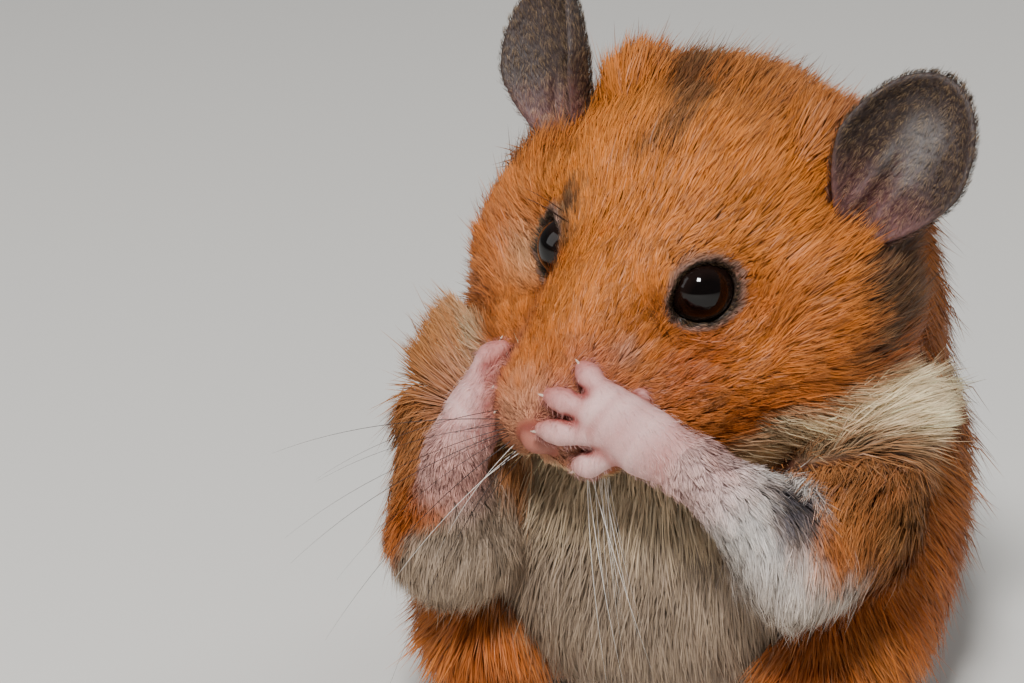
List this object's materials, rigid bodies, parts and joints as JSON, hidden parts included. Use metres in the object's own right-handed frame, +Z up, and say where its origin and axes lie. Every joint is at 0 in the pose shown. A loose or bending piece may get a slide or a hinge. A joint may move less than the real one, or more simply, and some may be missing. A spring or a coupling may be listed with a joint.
{
  "type": "syrian hamster, still life-size model",
  "caption": "Golden hamster sitting up on its haunches, head turned and lowered, washing its face with both forepaws; short fur, dark ears, bare pink paws.",
  "frame": {"origin": "centre of the footprint of the whole animal, on the floor it sits on", "axes": "+Z up, the body faces -Y with the head turned to its right, the animal's own left side is +X"},
  "size_m": [0.0624, 0.0762, 0.0748],
  "materials": {
    "golden_coat": "matte short fur, golden orange with pale crescents and dark flashes",
    "pale_coat": "matte short fur, off-white",
    "ear_skin": "thin dark grey skin with fine down",
    "bare_skin": "bare pink skin, slightly moist",
    "eye": "wet, black",
    "claw": "translucent pale horn",
    "whisker": "stiff fine hairs"
  },
  "bodies": {
    "root": {"head": "golden_coat", "nose": "bare_skin", "eye_left": "eye", "eye_right": "eye", "ear_left": "ear_skin", "ear_right": "ear_skin", "neck": "golden_coat", "trunk": "golden_coat", "tail": "bare_skin", "thigh_left": "golden_coat", "thigh_right": "golden_coat", "hind_foot_left": "bare_skin", "hind_foot_right": "bare_skin", "upper_arm_left": "golden_coat", "upper_arm_right": "golden_coat", "forearm_left": "pale_coat", "forearm_right": "pale_coat", "hand_left": "bare_skin", "hand_right": "bare_skin"}
  },
  "joints": []
}
